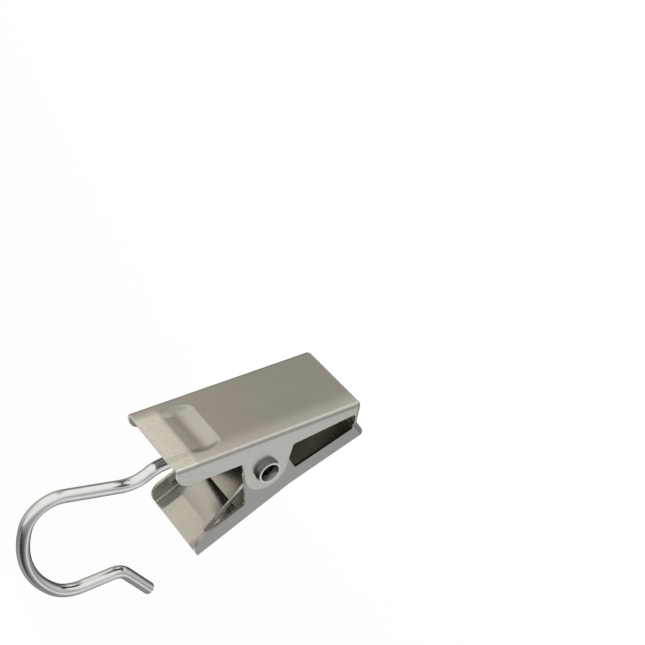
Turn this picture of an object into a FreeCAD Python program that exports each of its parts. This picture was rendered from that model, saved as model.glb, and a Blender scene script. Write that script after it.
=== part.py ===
import FreeCAD, Part
import math
import os
import Sketcher

# A spring clip on a bent wire hook, for hanging a curtain from a rod.
# Millimetres, +Z up, the clip hanging down from the hook.
# X is square to the clip's two wide faces, Y runs along the rivet.
# The origin is where the rod touches the inside of the hook's crown.

os.makedirs("parts", exist_ok=True)
doc = FreeCAD.newDocument("curtain_hook")
sheet = doc.addObject("Spreadsheet::Sheet", "Sizes")


class Size:
    # A length or ratio that keeps the sheet formula it comes from.
    def __init__(self, number, text):
        self.number = float(number)
        self.text = text

    def __add__(self, other):
        other = sized(other)
        return Size(self.number + other.number, f"({self.text} + {other.text})")

    def __sub__(self, other):
        other = sized(other)
        return Size(self.number - other.number, f"({self.text} - {other.text})")

    def __mul__(self, other):
        other = sized(other)
        return Size(self.number * other.number, f"({self.text} * {other.text})")

    def __truediv__(self, other):
        other = sized(other)
        return Size(self.number / other.number, f"({self.text} / {other.text})")

    def __neg__(self):
        return self * -1


def sized(value):
    if isinstance(value, Size):
        return value
    return Size(value, f"({value})")


def size(alias, number):
    # One row of the sheet: the alias beside its plain number.
    size.row += 1
    sheet.set(f"A{size.row}", alias)
    sheet.set(f"B{size.row}", str(number))
    sheet.setAlias(f"B{size.row}", alias)
    return Size(number, f"Sizes.{alias}")


size.row = 0


def sine(angle):
    return Size(math.sin(math.radians(angle.number)), f"sin({angle.text} * 1 deg)")


def cosine(angle):
    return Size(math.cos(math.radians(angle.number)), f"cos({angle.text} * 1 deg)")


def root(value):
    return Size(math.sqrt(value.number), f"sqrt({value.text})")


# Sheet metal shared by both jaws
sheet_thickness = size("sheet_thickness", 0.45)
side_bend_radius = size("side_bend_radius", 0.8)
running_clearance = size("running_clearance", 0.05)
jaw_width = size("jaw_width", 14.7)
closing_angle = size("closing_angle", 19.5)
lip_gap = size("lip_gap", 0.04)
ear_radius = size("ear_radius", 3.8)
ear_root_reach = size("ear_root_reach", 4.5)
window_corner_radius = size("window_corner_radius", 0.5)
nose_corner_radius = size("nose_corner_radius", 0.5)
jaw_flange_depth = size("jaw_flange_depth", 3.2)
handle_flange_depth = size("handle_flange_depth", 3.4)
heel_corner_radius = size("heel_corner_radius", 2.4)

# Thumb groove and the pad beyond it, pressed into each handle
groove_chord = size("groove_chord", 5.3)
groove_depth = size("groove_depth", 0.55)
groove_side_margin = size("groove_side_margin", 2.25)
groove_width = jaw_width - groove_side_margin * 2
groove_end_radius = size("groove_end_radius", 2)
groove_rim_radius = size("groove_rim_radius", 1)
groove_from_end = size("groove_from_end", 6.35)
pad_depth = size("pad_depth", 0.15)
pad_side_slope = size("pad_side_slope", 1.2)

# Outer jaw
outer_lean = size("outer_lean", 10)
outer_depth = size("outer_depth", 6.4)
outer_handle = size("outer_handle", 15.7)
outer_nose_above_lip = size("outer_nose_above_lip", 2.18)
outer_lip_rake = size("outer_lip_rake", 0.35)
lip_reach = size("lip_reach", 16.67)
lip_meeting = size("lip_meeting", 2.3)

# Inner jaw, cranked outwards above the kink
inner_depth = size("inner_depth", 7.5)
inner_handle = size("inner_handle", 17.8)
inner_nose_above_lip = size("inner_nose_above_lip", 0.98)
inner_lip_rake = size("inner_lip_rake", 1.1)
inner_kink = size("inner_kink", 2.9)
inner_crank = size("inner_crank", 6.6)

# Rivet
rivet_radius = size("rivet_radius", 1.55)
rivet_head_radius = size("rivet_head_radius", 2.3)
rivet_head_height = size("rivet_head_height", 0.75)
rivet_head_edge = size("rivet_head_edge", 0.5)
rivet_collar_radius = size("rivet_collar_radius", 2.05)
rivet_rim_radius = size("rivet_rim_radius", 1.9)
rivet_tail_height = size("rivet_tail_height", 0.9)
rivet_mouth_radius = size("rivet_mouth_radius", 1.55)
rivet_mouth_depth = size("rivet_mouth_depth", 0.9)
rivet_bore_radius = size("rivet_bore_radius", 1.15)
rivet_bore_depth = size("rivet_bore_depth", 4.2)

# Torsion spring
spring_wire = size("spring_wire", 0.7)
spring_clearance = size("spring_clearance", 0.15)
spring_turn_gap = size("spring_turn_gap", 0.08)
spring_pitch = spring_wire + spring_turn_gap
spring_whole_turns = size("spring_whole_turns", 3)
spring_start = size("spring_start", 4.4)
spring_inner_lean = size("spring_inner_lean", 36.5)
spring_outer_lean = size("spring_outer_lean", 45)
spring_seat_gap = size("spring_seat_gap", 0.15)

# Hook wire, from the eye upwards
hook_wire = size("hook_wire", 2)
eye_clearance = size("eye_clearance", 0.1)
eye_wrap = size("eye_wrap", 277)
lean_radius = size("lean_radius", 6)
stem_lean = size("stem_lean", 3.5)
stem_run = size("stem_run", 13.4)
jog_in_radius = size("jog_in_radius", 5)
jog_in_turn = size("jog_in_turn", 22)
jog_run = size("jog_run", 0.4)
jog_out_radius = size("jog_out_radius", 6)
jog_out_turn = size("jog_out_turn", 43)
rise_run = size("rise_run", 9.4)
shoulder_radius = size("shoulder_radius", 4.9)
shoulder_turn = size("shoulder_turn", 91)
crown_radius = size("crown_radius", 15.8)
crown_turn = size("crown_turn", 58)
nose_radius = size("nose_radius", 6.7)
nose_turn = size("nose_turn", 46)
drop_run = size("drop_run", 5)
toe_radius = size("toe_radius", 3)
toe_turn = size("toe_turn", 54)
toe_run = size("toe_run", 7)
doc.recompute()

half_turn = 180
# How near, in millimetres, an edge lies to the line that picks it
near = 0.01
eye_line_radius = rivet_radius + eye_clearance + hook_wire / 2


# Drawing helpers
def plane_of(body, role):
    for feature in body.Origin.OriginFeatures:
        if feature.Role == role:
            return feature
    raise ValueError(role)


def new_body(label):
    body = doc.addObject("PartDesign::Body", label)
    body.Label = label
    return body


def new_sketch(body, name, role="XZ_Plane"):
    sketch = body.newObject("Sketcher::SketchObject", name)
    sketch.AttachmentSupport = (plane_of(body, role), [""])
    sketch.MapMode = "FlatFace"
    return sketch


def bind(sketch, constraint, value, unit=""):
    index = sketch.addConstraint(constraint)
    sketch.setExpression(f"Constraints[{index}]", value.text + unit)


def pin(sketch, geometry, end, across, up):
    # Holds one point at its distances from the sketch's origin.
    bind(sketch, Sketcher.Constraint("DistanceX", -1, 1, geometry, end, across.number), across)
    bind(sketch, Sketcher.Constraint("DistanceY", -1, 1, geometry, end, up.number), up)


def vector(point):
    return FreeCAD.Vector(point[0].number, point[1].number, 0)


def polygon(body, name, points, role="XZ_Plane"):
    sketch = new_sketch(body, name, role)
    count = len(points)
    for index in range(count):
        following = points[(index + 1) % count]
        sketch.addGeometry(Part.LineSegment(vector(points[index]), vector(following)), False)
    for index in range(count):
        following = (index + 1) % count
        sketch.addConstraint(Sketcher.Constraint("Coincident", index, 2, following, 1))
    for index in range(count):
        pin(sketch, index, 1, points[index][0], points[index][1])
    return sketch


def disc(body, name, centre, radius, role="XZ_Plane"):
    sketch = new_sketch(body, name, role)
    normal = FreeCAD.Vector(0, 0, 1)
    sketch.addGeometry(Part.Circle(vector(centre), normal, radius.number), False)
    pin(sketch, 0, 3, centre[0], centre[1])
    bind(sketch, Sketcher.Constraint("Radius", 0, radius.number), radius)
    return sketch


def across_width(body, kind, name, sketch, length):
    # A pad or a pocket, equal on both sides of the middle plane.
    feature = body.newObject(kind, name)
    feature.Profile = sketch
    feature.SideType = "Symmetric"
    feature.Length = length.number
    feature.setExpression("Length", length.text)
    doc.recompute()
    return feature


def edges_at(feature, wanted):
    names = []
    for index, edge in enumerate(feature.Shape.Edges, start=1):
        if wanted(edge):
            names.append(f"Edge{index}")
    return names


def round_off(body, name, base, wanted, radius):
    feature = body.newObject("PartDesign::Fillet", name)
    feature.Base = (base, edges_at(base, wanted))
    feature.Radius = radius.number
    feature.setExpression("Radius", radius.text)
    doc.recompute()
    return feature


def runs_across(points):
    # Picks the edges that run along Y through any of the profile's points.
    def wanted(edge):
        box = edge.BoundBox
        if box.YLength < jaw_width.number / 2:
            return False
        for point in points:
            reach = max(
                abs(box.XMin - point[0].number),
                abs(box.XMax - point[0].number),
                abs(box.ZMin - point[1].number),
                abs(box.ZMax - point[1].number),
            )
            if reach < near:
                return True
        return False

    return wanted


def runs_along(corners, half_width):
    # Picks the long edges that lie on the line between two profile points.
    def wanted(edge):
        box = edge.BoundBox
        if box.YLength > near or abs(abs(box.YMin) - half_width.number) > near:
            return False
        if len(edge.Vertexes) < 2:
            return False
        middle = edge.valueAt((edge.FirstParameter + edge.LastParameter) / 2)
        for first, second in zip(corners, corners[1:]):
            start = FreeCAD.Vector(first[0].number, 0, first[1].number)
            end = FreeCAD.Vector(second[0].number, 0, second[1].number)
            spot = FreeCAD.Vector(middle.x, 0, middle.z)
            if spot.distanceToLineSegment(start, end).Length < near:
                return True
        return False

    return wanted


def either(first, second):
    def wanted(edge):
        return first(edge) or second(edge)

    return wanted


# The groove's shape is a barrel with rounded ends, cut by turning its half
# section about its own axis.
def dish_turned(body, label, centre, radius):
    zero = sized(0)
    rounding = groove_end_radius
    end_run = root(rounding * groove_depth * 2 - groove_depth * groove_depth)
    half = groove_width / 2 + rounding - end_run
    sketch = new_sketch(body, f"{label}_groove_section", "XY_Plane")
    shoulder = radius - rounding
    waist = half - rounding
    corners = [
        (zero, -half),
        (shoulder, -half),
        (radius, -waist),
        (radius, waist),
        (shoulder, half),
        (zero, half),
    ]
    middles = {1: (shoulder, -waist), 3: (shoulder, waist)}
    axis = FreeCAD.Vector(0, 0, 1)
    for index in range(len(corners)):
        here = vector(corners[index])
        following = vector(corners[(index + 1) % len(corners)])
        if index in middles:
            circle = Part.Circle(vector(middles[index]), axis, rounding.number)
            low = -math.pi / 2 if index == 1 else 0
            sketch.addGeometry(Part.ArcOfCircle(circle, low, low + math.pi / 2), False)
        else:
            sketch.addGeometry(Part.LineSegment(here, following), False)
    for index in range(len(corners)):
        following = (index + 1) % len(corners)
        sketch.addConstraint(Sketcher.Constraint("Coincident", index, 2, following, 1))
    for index, corner in enumerate(corners):
        if index in middles:
            pin(sketch, index - 1, 2, corner[0], corner[1])
        else:
            pin(sketch, index, 1, corner[0], corner[1])
    for index in middles:
        bind(sketch, Sketcher.Constraint("DistanceX", -1, 1, index, 3, shoulder.number), shoulder)
    sketch.AttachmentOffset = FreeCAD.Placement(
        FreeCAD.Vector(centre[0].number, 0, centre[1].number), FreeCAD.Rotation()
    )
    sketch.setExpression("AttachmentOffset.Base.x", centre[0].text)
    sketch.setExpression("AttachmentOffset.Base.z", centre[1].text)
    doc.recompute()
    dish = body.newObject("PartDesign::Groove", f"{label}_groove")
    dish.Profile = sketch
    dish.ReferenceAxis = (sketch, ["V_Axis"])
    dish.Angle = 2 * half_turn
    doc.recompute()
    return dish


# Jaws
# Each jaw is one strip of sheet bent to a channel. Its side flanges rise to a
# round ear over the rivet, its tip turns in to a lip, and its handle carries
# the thumb groove. Local X = side is outwards, local Z runs up to the handle.
def make_jaw(label, side, width, depth, tip, rake, nose_above, lip_end, handle, kink, crank):
    body = new_body(label)
    zero = sized(0)
    lean_across = sine(crank)
    lean_up = cosine(crank)
    lip_height = depth - lip_end

    def above(along, inwards):
        # A point of the handle: along it from the kink, and in from its face.
        out = depth + along * lean_across - inwards * lean_up
        return (out * side, along * lean_up + inwards * lean_across - kink)

    def below(along, inwards):
        # A point of the clamping half: down from the rivet, in from its face.
        return ((depth - inwards) * side, -along)

    handle_end = above(handle, zero)
    heel = above(handle, handle_flange_depth)
    ear_handle_root = above(ear_root_reach + kink, handle_flange_depth)
    ear_jaw_root = below(ear_root_reach, jaw_flange_depth)
    kink_point = below(kink, zero)
    tip_corner = below(tip, zero)
    lip_edge = below(tip - rake, lip_height)
    spine = [handle_end, tip_corner]
    if crank.number > 0:
        spine = [handle_end, kink_point, tip_corner]
    outline = spine + [
        lip_edge,
        ear_jaw_root,
        (zero, -ear_radius),
        (zero, ear_radius),
        ear_handle_root,
        heel,
    ]
    profile = polygon(body, f"{label}_profile", outline)
    across_width(body, "PartDesign::Pad", f"{label}_block", profile, width)
    ear = disc(body, f"{label}_ear_profile", (zero, zero), ear_radius)
    block = across_width(body, "PartDesign::Pad", f"{label}_ear", ear, width)
    bends = either(runs_along(spine + [lip_edge], width / 2), runs_across([tip_corner]))
    block = round_off(body, f"{label}_bends", block, bends, side_bend_radius)

    # Flanges cut back between the ears and the lip
    nose = below(tip - rake - side_bend_radius, lip_height - nose_above)
    beyond = lip_height + ear_radius
    cut = [
        ear_jaw_root,
        nose,
        below(tip - rake - side_bend_radius, beyond),
        below(ear_root_reach, beyond),
    ]
    trim = polygon(body, f"{label}_flange_trim", cut)
    block = across_width(body, "PartDesign::Pocket", f"{label}_flanges", trim, width * 2)
    block = round_off(body, f"{label}_heel", block, runs_across([heel]), heel_corner_radius)
    block = round_off(body, f"{label}_nose", block, runs_across([nose]), nose_corner_radius)
    roots = runs_across([ear_jaw_root, ear_handle_root])
    block = round_off(body, f"{label}_roots", block, roots, window_corner_radius)

    # Hollow of the channel, open at the handle's end and under the ears
    over = depth + ear_radius * 2
    past_end = handle + ear_radius
    tip_inside = tip - sheet_thickness - rake * sheet_thickness / lip_height
    inner_tip_corner = below(tip_inside, sheet_thickness)
    hollow = [above(past_end, sheet_thickness), inner_tip_corner]
    if crank.number > 0:
        inside_kink = kink + sheet_thickness * sine(crank / 2) / cosine(crank / 2)
        hollow = [hollow[0], below(inside_kink, sheet_thickness), inner_tip_corner]
    lip_foot = below(tip - sheet_thickness - rake, lip_height)
    inner_spine = [above(handle, sheet_thickness)] + hollow[1:] + [lip_foot]
    hollow = hollow + [
        below(tip - sheet_thickness - rake * over / lip_height, over),
        above(past_end, over),
    ]
    hollow_width = width - sheet_thickness * 2
    inside = polygon(body, f"{label}_hollow_profile", hollow)
    channel = across_width(body, "PartDesign::Pocket", f"{label}_hollow", inside, hollow_width)
    inner_bends = either(
        runs_along(inner_spine, hollow_width / 2), runs_across([inner_tip_corner])
    )
    inner_radius = side_bend_radius - sheet_thickness
    round_off(body, f"{label}_inner_bends", channel, inner_bends, inner_radius)

    # Thumb groove: a shallow arc pressed in, with the metal pushed out behind
    groove_radius = groove_chord * groove_chord / (groove_depth * 8) + groove_depth / 2
    back_radius = groove_radius + sheet_thickness
    centre_height = groove_radius - groove_depth
    groove_along = handle - groove_from_end
    half_sheet = sheet_thickness / 2
    back_height = centre_height + half_sheet
    back_reach = root(back_radius * back_radius - back_height * back_height)
    centre = above(groove_along, -centre_height)
    first = above(groove_along - back_reach, half_sheet)
    last = above(groove_along + back_reach, half_sheet)
    back = new_sketch(body, f"{label}_groove_back_profile")
    to_first = vector(first) - vector(centre)
    to_last = vector(last) - vector(centre)
    low = math.atan2(to_first.y, to_first.x)
    high = math.atan2(to_last.y, to_last.x)
    lower_end, upper_end = (1, 2)
    if side > 0:
        low, high = high, low + 2 * math.pi
        lower_end, upper_end = (2, 1)
    circle = Part.Circle(vector(centre), FreeCAD.Vector(0, 0, 1), back_radius.number)
    back.addGeometry(Part.ArcOfCircle(circle, low, high), False)
    back.addGeometry(Part.LineSegment(vector(first), vector(last)), False)
    back.addConstraint(Sketcher.Constraint("Coincident", 1, 1, 0, lower_end))
    back.addConstraint(Sketcher.Constraint("Coincident", 1, 2, 0, upper_end))
    pin(back, 1, 1, first[0], first[1])
    pin(back, 1, 2, last[0], last[1])
    bind(back, Sketcher.Constraint("DistanceX", -1, 1, 0, 3, centre[0].number), centre[0])
    back_width = groove_width + sheet_thickness * 2
    across_width(body, "PartDesign::Pad", f"{label}_groove_back", back, back_width)

    # Pad between the groove and the handle's end, pressed in less deeply, with
    # sloping sides. It starts where its floor meets the groove's.
    floor_height = centre_height + pad_depth
    pad_start = groove_along + root(groove_radius * groove_radius - floor_height * floor_height)
    pad_length = handle - pad_start
    foot = above(pad_start, zero)
    half_mouth = groove_width / 2
    half_pad = half_mouth - pad_side_slope

    def pad_section(name, levels):
        # A section square to the handle, drawn once for each side of the middle.
        points = [(-level * side, half) for level, half in levels]
        points = points + [(-level * side, -half) for level, half in reversed(levels)]
        section = polygon(body, name, points, "XY_Plane")
        turn = FreeCAD.Rotation(FreeCAD.Vector(0, 1, 0), side * crank.number)
        spot = FreeCAD.Vector(foot[0].number, 0, foot[1].number)
        section.AttachmentOffset = FreeCAD.Placement(spot, turn)
        section.setExpression("AttachmentOffset.Base.x", foot[0].text)
        section.setExpression("AttachmentOffset.Base.z", foot[1].text)
        return section

    behind = pad_section(
        f"{label}_pad_back_section",
        [
            (half_sheet, half_mouth + half_sheet),
            (sheet_thickness, half_mouth + half_sheet),
            (sheet_thickness + pad_depth, half_pad + half_sheet),
        ],
    )
    raised = body.newObject("PartDesign::Pad", f"{label}_pad_back")
    raised.Profile = behind
    raised.Length = pad_length.number
    raised.setExpression("Length", pad_length.text)
    doc.recompute()
    dish = dish_turned(body, label, centre, groove_radius)
    outwards = FreeCAD.Vector(side * lean_up.number, 0, -lean_across.number)
    groove_spot = above(groove_along, zero)
    groove_middle = FreeCAD.Vector(groove_spot[0].number, 0, groove_spot[1].number)

    def groove_rim(edge):
        # The groove's outline on the handle's face.
        first, last = edge.FirstParameter, edge.LastParameter
        for place in (first, (first + last) / 2, last):
            away = edge.valueAt(place) - groove_middle
            if abs(away.dot(outwards)) > near or away.Length > groove_width.number:
                return False
        return abs(away.y) < groove_width.number / 2 + near

    round_off(body, f"{label}_groove_rim", dish, groove_rim, groove_rim_radius)
    sunk = pad_section(
        f"{label}_pad_section",
        [(-pad_depth, half_mouth + pad_side_slope), (pad_depth, half_pad)],
    )
    pressed = body.newObject("PartDesign::Pocket", f"{label}_pad")
    pressed.Profile = sunk
    pressed.Reversed = True
    pressed.Length = (pad_length * 2).number
    pressed.setExpression("Length", (pad_length * 2).text)
    doc.recompute()

    # Rivet hole through both ears
    hole = disc(body, f"{label}_hole_profile", (zero, zero), rivet_radius + running_clearance)
    across_width(body, "PartDesign::Pocket", f"{label}_hole", hole, width * 2)
    return body


outer_jaw = make_jaw(
    "outer_jaw",
    1,
    jaw_width,
    outer_depth,
    lip_reach + outer_lip_rake,
    outer_lip_rake,
    outer_nose_above_lip,
    lip_meeting + lip_gap / 2,
    outer_handle,
    sized(0),
    sized(0),
)

# The inner jaw's ears and flanges fit between the outer jaw's. Its lip ends on
# the line where the outer jaw's lip ends.
inner_width = jaw_width - (sheet_thickness + running_clearance) * 2
inner_reach = lip_reach * cosine(closing_angle) + lip_meeting * sine(closing_angle)
inner_lip_end = lip_reach * sine(closing_angle) - lip_meeting * cosine(closing_angle)
inner_jaw = make_jaw(
    "inner_jaw",
    -1,
    inner_width,
    inner_depth,
    inner_reach + inner_lip_rake,
    inner_lip_rake,
    inner_nose_above_lip,
    inner_lip_end + lip_gap / 2,
    inner_handle,
    inner_kink,
    inner_crank,
)


# Rivet
# Solid low head on the +Y side, hollow tail rolled to a collar on the -Y side.
def make_rivet():
    body = new_body("rivet")
    zero = sized(0)
    face = jaw_width / 2
    head_top = face + rivet_head_height
    tail_end = -(face + rivet_tail_height)
    mouth_end = tail_end + rivet_mouth_depth
    bore_end = tail_end + rivet_bore_depth
    outline = [
        (zero, head_top),
        (rivet_head_radius, head_top),
        (rivet_head_radius, face),
        (rivet_radius, face),
        (rivet_radius, -face),
        (rivet_collar_radius, -face),
        (rivet_rim_radius, tail_end),
        (rivet_mouth_radius, tail_end),
        (rivet_bore_radius, mouth_end),
        (rivet_bore_radius, bore_end),
        (zero, bore_end + rivet_bore_radius / 2),
    ]
    profile = polygon(body, "rivet_profile", outline, "XY_Plane")
    turned = body.newObject("PartDesign::Revolution", "rivet_turned")
    turned.Profile = profile
    turned.ReferenceAxis = (plane_of(body, "Y_Axis"), [""])
    turned.Angle = 2 * half_turn
    doc.recompute()

    def head_edge(edge):
        box = edge.BoundBox
        on_top = abs(box.YMin - head_top.number) < near and box.YLength < near
        return on_top and box.XLength > rivet_head_radius.number

    round_off(body, "rivet_head_dome", turned, head_edge, rivet_head_edge)
    return body


rivet = make_rivet()


# Hook
# One round wire: an eye round the rivet, a stem, a jog outwards, the crown that
# sits on the rod, and a toe turned out at the open end.
def make_hook():
    body = new_body("hook")
    zero = sized(0)
    start = (eye_line_radius, zero)
    path = new_sketch(body, "hook_path")
    runs = [
        (lean_radius, stem_lean, -1),
        (stem_run, None, 0),
        (jog_in_radius, jog_in_turn, 1),
        (jog_run, None, 0),
        (jog_out_radius, jog_out_turn, -1),
        (rise_run, None, 0),
        (shoulder_radius, shoulder_turn, 1),
        (crown_radius, crown_turn, 1),
        (nose_radius, nose_turn, 1),
        (drop_run, None, 0),
        (toe_radius, toe_turn, -1),
        (toe_run, None, 0),
    ]
    spot = vector(start)
    heading = math.pi / 2
    axis = FreeCAD.Vector(0, 0, 1)
    crown_spot = spot
    entry = None
    opening = None
    for index, (reach, turn, way) in enumerate(runs):
        ahead = FreeCAD.Vector(math.cos(heading), math.sin(heading), 0)
        if turn is None:
            finish = spot + ahead * reach.number
            path.addGeometry(Part.LineSegment(spot, finish), False)
            first, last = 1, 2
        else:
            angle = math.radians(turn.number)
            centre = spot + FreeCAD.Vector(-ahead.y, ahead.x, 0) * reach.number * way
            from_angle = heading - way * math.pi / 2
            to_angle = from_angle + way * angle
            circle = Part.Circle(centre, axis, reach.number)
            low, high = sorted((from_angle, to_angle))
            path.addGeometry(Part.ArcOfCircle(circle, low, high), False)
            first, last = (1, 2) if way > 0 else (2, 1)
            outwards = FreeCAD.Vector(math.cos(to_angle), math.sin(to_angle), 0)
            finish = centre + outwards * reach.number
            heading += way * angle
            if reach is crown_radius:
                crown_spot = centre + FreeCAD.Vector(0, reach.number, 0)
        if entry is None:
            opening = first
        else:
            path.addConstraint(Sketcher.Constraint("Tangent", index - 1, entry, index, first))
        if turn is None:
            bind(path, Sketcher.Constraint("Distance", index, reach.number), reach)
        else:
            bind(path, Sketcher.Constraint("Radius", index, reach.number), reach)
            bind(path, Sketcher.Constraint("Angle", index, angle), turn, " * 1 deg")
        entry = last
        spot = finish
    pin(path, 0, opening, start[0], start[1])
    bind(path, Sketcher.Constraint("DistanceY", -1, 1, 0, 3, 0), zero)
    section = disc(body, "hook_section", start, hook_wire / 2, "XY_Plane")
    doc.recompute()
    wire = body.newObject("PartDesign::AdditivePipe", "hook_wire_run")
    wire.Profile = section
    wire.Spine = (path, [f"Edge{number}" for number in range(1, len(runs) + 1)])
    doc.recompute()
    eye_section = disc(body, "eye_section", start, hook_wire / 2, "XY_Plane")
    eye = body.newObject("PartDesign::Revolution", "hook_eye")
    eye.Profile = eye_section
    eye.ReferenceAxis = (plane_of(body, "Y_Axis"), [""])
    eye.Angle = eye_wrap.number
    eye.setExpression("Angle", eye_wrap.text + " * 1 deg")
    doc.recompute()
    return body, crown_spot


hook, crown_spot = make_hook()


# Spring
# Torsion spring coiled round the rivet between the near ear and the hook's
# eye. One leg bears on the inner jaw's handle, the other on the outer jaw's.
# Local Z runs along the first leg.
def leg_length(lean, line_radius, face_lean, face_distance):
    # From the coil's side to where the wire's end meets a leaning flat face.
    slope = sine(lean - face_lean)
    away = line_radius * cosine(lean - face_lean)
    edge = spring_wire / 2 * cosine(lean - face_lean)
    return (face_distance - spring_seat_gap - away - edge) / slope


def make_spring():
    body = new_body("spring")
    line_radius = rivet_radius + spring_clearance + spring_wire / 2
    half_wire = spring_wire / 2
    between = spring_inner_lean + spring_outer_lean
    turns = spring_whole_turns + 1 - (between + half_turn) / (2 * half_turn)
    start = (-line_radius, -spring_start)
    section = disc(body, "coil_section", start, half_wire, "XY_Plane")
    doc.recompute()
    coil = body.newObject("PartDesign::AdditiveHelix", "spring_coil")
    coil.Profile = section
    coil.ReferenceAxis = (plane_of(body, "Y_Axis"), [""])
    coil.Mode = 1
    coil.LeftHanded = True
    coil.Pitch = spring_pitch.number
    coil.Turns = turns.number
    coil.setExpression("Pitch", spring_pitch.text)
    coil.setExpression("Turns", turns.text)
    doc.recompute()

    inner_lean = closing_angle - outer_lean + inner_crank
    inner_face = inner_depth * cosine(inner_crank) + inner_kink * sine(inner_crank) - sheet_thickness
    inner_length = leg_length(spring_inner_lean, line_radius, inner_lean, inner_face)
    first_section = disc(body, "first_leg_section", start, half_wire, "XY_Plane")
    first = body.newObject("PartDesign::Pad", "first_leg")
    first.Profile = first_section
    first.Length = inner_length.number
    first.setExpression("Length", inner_length.text)
    doc.recompute()

    outer_face = outer_depth - sheet_thickness
    outer_length = leg_length(spring_outer_lean, line_radius, outer_lean, outer_face)
    finish = (line_radius, turns * spring_pitch - spring_start)
    second_section = disc(body, "second_leg_section", finish, half_wire, "XY_Plane")
    tilt = FreeCAD.Rotation(FreeCAD.Vector(0, 1, 0), between.number)
    second_section.AttachmentOffset = FreeCAD.Placement(FreeCAD.Vector(), tilt)
    second_section.setExpression("AttachmentOffset.Rotation.Angle", between.text + " * 1 deg")
    second = body.newObject("PartDesign::Pad", "second_leg")
    second.Profile = second_section
    second.Length = outer_length.number
    second.setExpression("Length", outer_length.text)
    doc.recompute()
    return body


spring = make_spring()


# Placing
# The rivet's axis lies below the rod's contact point, which is the origin.
rivet_across = -crown_spot.x
rivet_height = hook_wire.number / 2 - crown_spot.y
leans = [
    (outer_jaw, outer_lean.number),
    (inner_jaw, outer_lean.number - closing_angle.number),
    (rivet, 0),
    (hook, 0),
    (spring, -spring_inner_lean.number),
]
for body, lean in leans:
    turned = FreeCAD.Rotation(FreeCAD.Vector(0, 1, 0), lean)
    body.Placement = FreeCAD.Placement(FreeCAD.Vector(rivet_across, 0, rivet_height), turned)
doc.recompute()

# Every object and every piece is sound before any file is written
for item in doc.Objects:
    if "Invalid" in item.State or "Error" in item.State:
        raise RuntimeError(f"{item.Label} failed")
for body, lean in leans:
    if body.Shape.isNull() or not body.Shape.isValid() or len(body.Shape.Solids) != 1:
        raise RuntimeError(f"{body.Label} is not one sound solid")
for body, lean in leans:
    body.Shape.exportStep(f"parts/{body.Label}.step")
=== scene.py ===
import bmesh
import bpy
import math
from mathutils import Matrix, Vector


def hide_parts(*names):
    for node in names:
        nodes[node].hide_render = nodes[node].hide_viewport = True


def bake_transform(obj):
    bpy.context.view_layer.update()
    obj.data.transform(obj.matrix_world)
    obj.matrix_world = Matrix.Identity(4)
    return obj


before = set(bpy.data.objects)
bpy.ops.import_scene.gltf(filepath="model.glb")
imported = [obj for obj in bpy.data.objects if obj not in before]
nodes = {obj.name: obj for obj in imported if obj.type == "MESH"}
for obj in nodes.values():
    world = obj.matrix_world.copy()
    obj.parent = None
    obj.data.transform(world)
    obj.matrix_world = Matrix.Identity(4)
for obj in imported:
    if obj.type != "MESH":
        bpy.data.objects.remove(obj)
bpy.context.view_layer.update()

# Metres, +Z up. The curtain hook hangs with its crown at the origin, the
# outer jaw towards +X and the rivet along Y.


# Standpoint of the picture
# Close to the clip's outer jaw and a little above it, with the clip lying
# slantwise across the frame.
picture_width = 645
focal_length = 1400
picture_right = Vector((-0.0394, -0.5656, -0.8237)).normalized()
picture_up = Vector((0.7316, 0.5452, -0.4093))
picture_up = (picture_up - picture_right * picture_up.dot(picture_right)).normalized()
towards_viewer = picture_right.cross(picture_up)
standpoint = Vector((0.16027, -0.12997, 0.03069))
turned = Matrix((picture_right, picture_up, towards_viewer)).transposed()
lens = bpy.data.cameras.new("picture_lens")
lens.sensor_width = 36
lens.lens = lens.sensor_width * focal_length / picture_width
lens.clip_start = 0.005
lens.clip_end = 20
viewer = bpy.data.objects.new("picture_viewer", lens)
viewer.matrix_world = Matrix.Translation(standpoint) @ turned.to_4x4()
bpy.context.scene.collection.objects.link(viewer)
bpy.context.scene.camera = viewer


# Satin plated sheet
# Both jaws are folded from one gauge of steel sheet, plated in warm grey
# nickel and brushed along the clip, which leaves fine lines down each face.
nickel = (0.54, 0.515, 0.465)
nickel_shade = (0.48, 0.455, 0.41)
# Painted dark reflection for the bends between web and flanks.
painted_bend_dark = (0.38, 0.365, 0.33)
# Rubbed nickel with painted highlight, for the cut edges, the thumb pad and the web's near
# edge.
rubbed_and_highlight_nickel = (0.96, 0.93, 0.86)
fold_shadow = (0.33, 0.31, 0.26)
outer_flanks = (0.60, 0.606, 0.562)
inner_flanks = (0.36, 0.366, 0.347)


def layered(tree, amount, under, over):
    # One colour laid over another by the amount. Each is a colour or an output.
    coat = tree.nodes.new("ShaderNodeMix")
    coat.data_type = "RGBA"
    tree.links.new(amount, coat.inputs["Factor"])
    for socket, colour in ((coat.inputs["A"], under), (coat.inputs["B"], over)):
        if isinstance(colour, tuple):
            socket.default_value = (*colour, 1)
        else:
            tree.links.new(colour, socket)
    return coat.outputs["Result"]


def reckoned(tree, operation, first, second=None):
    # One sum, on outputs or plain numbers.
    reckoning = tree.nodes.new("ShaderNodeMath")
    reckoning.operation = operation
    for socket, value in zip(reckoning.inputs, (first, second)):
        if isinstance(value, float):
            socket.default_value = value
        elif value is not None:
            tree.links.new(value, socket)
    return reckoning.outputs["Value"]


def ranged(tree, value, low, high, least=0.0, most=1.0, easing="SMOOTHSTEP"):
    # How far a value lies from low to high, told as least to most.
    scale = tree.nodes.new("ShaderNodeMapRange")
    scale.interpolation_type = easing
    scale.inputs["From Min"].default_value = low
    scale.inputs["From Max"].default_value = high
    scale.inputs["To Min"].default_value = least
    scale.inputs["To Max"].default_value = most
    tree.links.new(value, scale.inputs["Value"])
    return scale.outputs["Result"]


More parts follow.
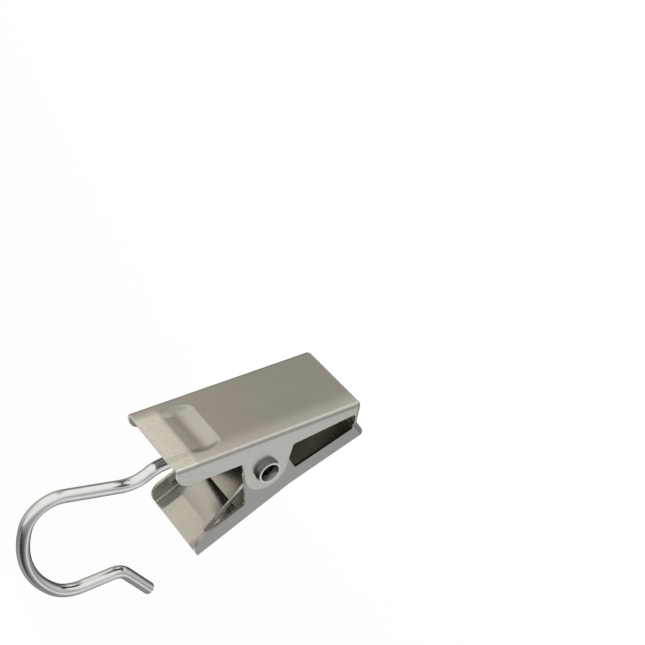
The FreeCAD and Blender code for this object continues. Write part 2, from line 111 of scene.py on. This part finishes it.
def clouded(tree, place, size, detail):
    # Soft patches over the metal, smaller for a greater size number.
    cloud = tree.nodes.new("ShaderNodeTexNoise")
    cloud.inputs["Scale"].default_value = size
    cloud.inputs["Detail"].default_value = detail
    tree.links.new(place, cloud.inputs["Vector"])
    return cloud.outputs["Fac"]


def plated_finish(name, tint, shade, roughness, brushed):
    finish = bpy.data.materials.new(name)
    finish.use_nodes = True
    tree = finish.node_tree
    plate = tree.nodes["Principled BSDF"]
    plate.inputs["Metallic"].default_value = 1.0
    place = tree.nodes.new("ShaderNodeTexCoord").outputs["Object"]
    lines = tree.nodes.new("ShaderNodeMapping")
    lines.inputs["Scale"].default_value = brushed
    tree.links.new(place, lines.inputs["Vector"])
    grain = clouded(tree, lines.outputs["Vector"], 1.0, 3.0)
    colour = layered(tree, clouded(tree, place, 260.0, 4.0), shade, tint)
    tree.links.new(colour, plate.inputs["Base Color"])
    satin = ranged(tree, grain, 0.0, 1.0, roughness - 0.05, roughness + 0.06, "LINEAR")
    tree.links.new(satin, plate.inputs["Roughness"])
    relief = tree.nodes.new("ShaderNodeBump")
    relief.inputs["Strength"].default_value = 0.12
    relief.inputs["Distance"].default_value = 0.00002
    tree.links.new(grain, relief.inputs["Height"])
    tree.links.new(relief.outputs["Normal"], plate.inputs["Normal"])
    return finish


def dress(node, finish):
    metal = nodes[node].data
    metal.materials.clear()
    metal.materials.append(finish)


def wear_sheet(finish, outwards, flanks):
    # Bends get a painted dark reflection and cut edges are drawn lighter. The thumb pad is
    # rubbed and gets a painted highlight, as does the web's near edge; the deep fold gets
    # painted shadow.
    tree = finish.node_tree
    plate = tree.nodes["Principled BSDF"]
    colour = plate.inputs["Base Color"].links[0].from_socket
    satin = plate.inputs["Roughness"].links[0].from_socket
    place = tree.nodes.new("ShaderNodeTexCoord")
    spot = tree.nodes.new("ShaderNodeSeparateXYZ")
    tree.links.new(place.outputs["Object"], spot.inputs["Vector"])
    across, height = spot.outputs["Y"], spot.outputs["Z"]
    slope = tree.nodes.new("ShaderNodeSeparateXYZ")
    tree.links.new(place.outputs["Normal"], slope.inputs["Vector"])
    facing = tree.nodes.new("ShaderNodeVectorMath")
    facing.operation = "DOT_PRODUCT"
    facing.inputs[1].default_value = outwards
    tree.links.new(place.outputs["Normal"], facing.inputs[0])
    face_on = facing.outputs["Value"]
    sideways = reckoned(tree, "ABSOLUTE", slope.outputs["Y"])
    patches = clouded(tree, place.outputs["Object"], 2200.0, 3.0)

    # Painted dark reflection along the bends, where the web turns into the flanks.
    bend_dark_reflection = ranged(tree, sideways, 0.1, 0.5)
    flank = ranged(tree, sideways, 0.8, 0.95)
    scuffed = reckoned(tree, "MULTIPLY", flank, ranged(tree, patches, -1.0, 0.8))

    squareness = reckoned(tree, "MAXIMUM", reckoned(tree, "ABSOLUTE", face_on), sideways)
    cut_edges = ranged(tree, reckoned(tree, "SUBTRACT", 1.0, squareness), 0.3, 0.9)
    # The thumb pad is rubbed and carries a painted highlight.
    above_groove = ranged(tree, height, -0.0257, -0.0247)
    off_far_edge = ranged(tree, across, 0.0066, 0.0042)
    pad = reckoned(tree, "MULTIPLY", above_groove, off_far_edge)
    # Painted highlight along the web's near edge only.
    near_edge = ranged(tree, across, -0.0035, -0.0066)
    near_edge_highlight = reckoned(tree, "MULTIPLY", near_edge, 0.6)
    web = ranged(tree, face_on, 0.7, 0.95)
    handle_rub_and_highlight = reckoned(tree, "MULTIPLY", reckoned(tree, "MAXIMUM", pad, near_edge_highlight), web)
    patchy_rub_and_highlight = reckoned(tree, "MULTIPLY", handle_rub_and_highlight, ranged(tree, patches, -0.4, 0.7))
    bright_edges = reckoned(tree, "MULTIPLY", cut_edges, 0.8)
    wear_and_highlight = reckoned(tree, "MAXIMUM", bright_edges, patchy_rub_and_highlight)

    # Painted shadow on the faces turned inwards, deep in the fold.
    side = reckoned(tree, "SIGN", across)
    turned_out = reckoned(tree, "MULTIPLY", slope.outputs["Y"], side)
    backward = reckoned(tree, "MINIMUM", face_on, turned_out)
    inside = ranged(tree, backward, -0.3, -0.8)
    deep = reckoned(tree, "MULTIPLY", inside, ranged(tree, height, -0.0255, -0.0350))

    coats = ((bend_dark_reflection, painted_bend_dark), (scuffed, flanks), (wear_and_highlight, rubbed_and_highlight_nickel), (deep, fold_shadow))
    for amount, over in coats:
        colour = layered(tree, amount, colour, over)
    tree.links.new(colour, plate.inputs["Base Color"])
    smoother = reckoned(tree, "MULTIPLY", wear_and_highlight, 0.08)
    polished = reckoned(tree, "SUBTRACT", satin, smoother)
    tree.links.new(polished, plate.inputs["Roughness"])


along_clip = (9000, 9000, 500)
outer_web_faces = (0.985, 0, -0.174)
inner_web_faces = (-0.985, 0, -0.174)
outer_plate = plated_finish("outer_plate", nickel, nickel_shade, 0.27, along_clip)
wear_sheet(outer_plate, outer_web_faces, outer_flanks)
dress("outer_jaw", outer_plate)
inner_plate = plated_finish("inner_plate", nickel, nickel_shade, 0.22, along_clip)
wear_sheet(inner_plate, inner_web_faces, inner_flanks)
dress("inner_jaw", inner_plate)


# Rivet
# A turned steel rivet, plated darker than the sheet, with its hollow tail
# rolled over the near ear. Its end faces are drawn lighter than its sides and bore.
rivet_dark = (0.30, 0.29, 0.27)
rivet_shade = (0.20, 0.19, 0.18)
light_rivet_end = (0.66, 0.65, 0.62)
every_way = (2500, 2500, 2500)
rivet_plate = plated_finish("rivet_plate", rivet_dark, rivet_shade, 0.24, every_way)
tree = rivet_plate.node_tree
plate = tree.nodes["Principled BSDF"]
slope = tree.nodes.new("ShaderNodeSeparateXYZ")
place = tree.nodes.new("ShaderNodeTexCoord")
tree.links.new(place.outputs["Normal"], slope.inputs["Vector"])
# End faces, turned along the rivet, drawn lighter than its sides and bore.
end_on = ranged(tree, reckoned(tree, "ABSOLUTE", slope.outputs["Y"]), 0.45, 0.95)
plain_rivet = plate.inputs["Base Color"].links[0].from_socket
rivet_with_light_ends = layered(tree, end_on, plain_rivet, light_rivet_end)
tree.links.new(rivet_with_light_ends, plate.inputs["Base Color"])
dress("rivet", rivet_plate)


# Spring
# Hard drawn steel wire, coiled round the rivet with a leg against each
# handle.
drawn_steel = (0.88, 0.87, 0.85)
drawn_shade = (0.76, 0.75, 0.73)
fine_grain = (3000, 3000, 3000)
spring_steel = plated_finish("spring_steel", drawn_steel, drawn_shade, 0.25, fine_grain)
turns = bmesh.new()
turns.from_mesh(nodes["spring"].data)
bmesh.ops.remove_doubles(turns, verts=turns.verts, dist=0.000001)
wound_mesh = bpy.data.meshes.new("wound_spring")
turns.to_mesh(wound_mesh)
turns.free()
wound_mesh.shade_smooth()
wound_mesh.set_sharp_from_angle(angle=math.radians(40))
wound_mesh.materials.clear()
wound_mesh.materials.append(spring_steel)
wound_spring = bpy.data.objects.new("wound_spring", wound_mesh)
bpy.context.scene.collection.objects.link(wound_spring)
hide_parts("spring")
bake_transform(wound_spring)


# Hook
# One length of round steel wire, bent cold and plated bright, running
# smoothly from the eye round the rivet to the open toe. Its polish darkens
# where the wire curves away.
bright_plate = (0.86, 0.86, 0.85)
bright_shade = (0.78, 0.78, 0.77)
wire_grain = (1500, 1500, 1500)
hook_steel = plated_finish("hook_steel", bright_plate, bright_shade, 0.13, wire_grain)
plate = hook_steel.node_tree.nodes["Principled BSDF"]
edge_tint = (0.15, 0.15, 0.15, 1)
plate.inputs["Specular Tint"].default_value = edge_tint
dress("hook", hook_steel)


# Studio
# A pale floor under the hanging clip and a white room round it. Bright metal
# mirrors its room, so to mirrored rays the room has dark and light walls.
floor_level = -0.16
sweep = bmesh.new()
bmesh.ops.create_grid(sweep, x_segments=1, y_segments=1, size=4)
bmesh.ops.translate(sweep, vec=(0, 0, floor_level), verts=sweep.verts)
floor_mesh = bpy.data.meshes.new("studio_floor")
sweep.to_mesh(floor_mesh)
sweep.free()
floor = bpy.data.objects.new("studio_floor", floor_mesh)
floor.visible_glossy = False
bpy.context.scene.collection.objects.link(floor)
paper = bpy.data.materials.new("floor_paper")
paper.use_nodes = True
floor_mesh.materials.append(paper)
tree = paper.node_tree
ground = tree.nodes["Principled BSDF"]
ground.inputs["Base Color"].default_value = (0.93, 0.93, 0.93, 1)
ground.inputs["Roughness"].default_value = 0.9
white = tree.nodes.new("ShaderNodeEmission")
white.inputs["Color"].default_value = (1, 1, 1, 1)
white.inputs["Strength"].default_value = 1.0
place = tree.nodes.new("ShaderNodeTexCoord")
reach = tree.nodes.new("ShaderNodeVectorMath")
reach.operation = "LENGTH"
tree.links.new(place.outputs["Object"], reach.inputs[0])
whiter = ranged(tree, reach.outputs["Value"], 0.2, 1.6, least=0.88)
ray = tree.nodes.new("ShaderNodeLightPath")
seen_white = reckoned(tree, "MULTIPLY", whiter, ray.outputs["Is Camera Ray"])
choice = tree.nodes.new("ShaderNodeMixShader")
tree.links.new(seen_white, choice.inputs["Fac"])
tree.links.new(ground.outputs["BSDF"], choice.inputs[1])
tree.links.new(white.outputs["Emission"], choice.inputs[2])
tree.links.new(choice.outputs["Shader"], tree.nodes["Material Output"].inputs["Surface"])

room = bpy.data.worlds.new("studio_room")
room.use_nodes = True
bpy.context.scene.world = room
tree = room.node_tree
place = tree.nodes.new("ShaderNodeTexCoord")
axes = tree.nodes.new("ShaderNodeSeparateXYZ")
tree.links.new(place.outputs["Generated"], axes.inputs["Vector"])
bearing = reckoned(tree, "ARCTAN2", axes.outputs["Y"], axes.outputs["X"])
round_room = ranged(tree, bearing, -math.pi, math.pi, easing="LINEAR")
up_wall = ranged(tree, axes.outputs["Z"], -1.0, 1.0, easing="LINEAR")


def painted(place_along, stops):
    # A smooth ramp through the given places, the first and last at its ends.
    ramp = tree.nodes.new("ShaderNodeValToRGB")
    ramp.color_ramp.interpolation = "B_SPLINE"
    elements = ramp.color_ramp.elements
    elements[0].color = stops[0][1]
    elements[1].color = stops[-1][1]
    for spot, colour in stops[1:-1]:
        elements.new(spot).color = colour
    tree.links.new(place_along, ramp.inputs["Fac"])
    return ramp


# Bearing, then the shares of the near, side and far walls and how lit they are
bearings = [
    (-180, 0.5, 0, 0.5, 0.9),
    (-165, 1, 0, 0, 0.9),
    (-140, 1, 0, 0, 1.05),
    (-126, 0.95, 0, 0, 1.1),
    (-110, 0.6, 0, 0, 0.8),
    (-98, 0.5, 0, 0, 0.65),
    (-88, 0.4, 0, 0, 0.65),
    (-76, 0.2, 0, 0, 0.7),
    (-56, 0, 0, 0, 1.0),
    (-12, 0, 0, 0, 1.0),
    (8, 0, 0.5, 0, 1.15),
    (22, 0, 1, 0, 1.35),
    (38, 0, 1, 0, 1.1),
    (54, 0, 1, 0, 0.75),
    (70, 0, 1, 0, 0.55),
    (86, 0, 0.6, 0.3, 0.75),
    (108, 0, 0, 1, 0.85),
    (150, 0, 0, 1, 1.0),
    (180, 0.5, 0, 0.5, 0.9),
]
walls = painted(round_room, [((degrees + 180) / 360, mix) for degrees, *mix in bearings])
shares = tree.nodes.new("ShaderNodeSeparateColor")
tree.links.new(walls.outputs["Color"], shares.inputs["Color"])

# Each wall from straight down to straight up: height, brightness and warmth
near_wall = [
    (-1, 0.5, 0),
    (-0.92, 0.6, 0),
    (-0.8, 0.7, 0),
    (-0.7, 0.45, 0),
    (-0.6, 0.3, 0),
    (-0.48, 0.35, 0),
    (-0.36, 0.9, 0),
    (-0.24, 0.9, 0),
    (-0.1, 0.35, 0),
    (0.1, 0.3, 0),
    (0.3, 0.12, 0),
    (0.5, 0.03, 0),
    (0.8, 0.02, 0),
    (1, 0.1, 0),
]
side_wall = [
    (-1, 0.7, 0.1),
    (-0.82, 1.25, 0.1),
    (-0.7, 0.85, 0.1),
    (-0.6, 0.42, 0.12),
    (-0.54, 0.44, 0.12),
    (-0.47, 0.85, 0.12),
    (-0.34, 1.1, 0.12),
    (-0.12, 1.1, 0.1),
    (0.1, 1.05, 0.1),
    (0.3, 0.95, 0.1),
    (0.44, 0.85, 0.1),
    (0.6, 0.8, 0),
    (0.8, 0.8, 0),
    (1, 0.4, 0),
]
far_wall = [
    (-1, 0.2, 0),
    (-0.8, 0.12, 0),
    (-0.6, 0.12, 0),
    (-0.38, 0.25, 0),
    (-0.14, 0.45, 0),
    (0.14, 0.6, 0),
    (0.38, 0.8, 0),
    (0.62, 0.5, 0),
    (0.8, 0.25, 0),
    (1, 0.15, 0),
]
room_light = (0.95, 0.95, 0.95)
for wall, share in ((near_wall, "Red"), (side_wall, "Green"), (far_wall, "Blue")):
    stops = []
    for height, level, warmth in wall:
        light = (level, level * (1 - warmth / 3), level * (1 - warmth), 1)
        stops.append(((height + 1) / 2, light))
    bands = painted(up_wall, stops)
    room_light = layered(tree, shares.outputs[share], room_light, bands.outputs["Color"])
lit_room = tree.nodes.new("ShaderNodeVectorMath")
lit_room.operation = "SCALE"
tree.links.new(room_light, lit_room.inputs["Vector"])
tree.links.new(walls.outputs["Alpha"], lit_room.inputs["Scale"])
ray = tree.nodes.new("ShaderNodeLightPath")
soft_grey = (0.6, 0.6, 0.6)
mirrored = layered(tree, ray.outputs["Is Glossy Ray"], soft_grey, lit_room.outputs["Vector"])
seen = layered(tree, ray.outputs["Is Camera Ray"], mirrored, (1, 1, 1))
tree.links.new(seen, tree.nodes["Background"].inputs["Color"])

lamp_place = Vector((0.05, 0.20, 0.60))
lit_middle = Vector((0, 0, -0.03))
glow = bpy.data.lights.new("overhead_lamp", "AREA")
glow.shape = "SQUARE"
glow.size = 0.50
glow.energy = 4.0
overhead = bpy.data.objects.new("overhead_lamp", glow)
aim = (lamp_place - lit_middle).to_track_quat("Z", "Y").to_matrix().to_4x4()
overhead.matrix_world = Matrix.Translation(lamp_place) @ aim
overhead.visible_glossy = False
bpy.context.scene.collection.objects.link(overhead)

bpy.context.scene.view_settings.view_transform = "Standard"
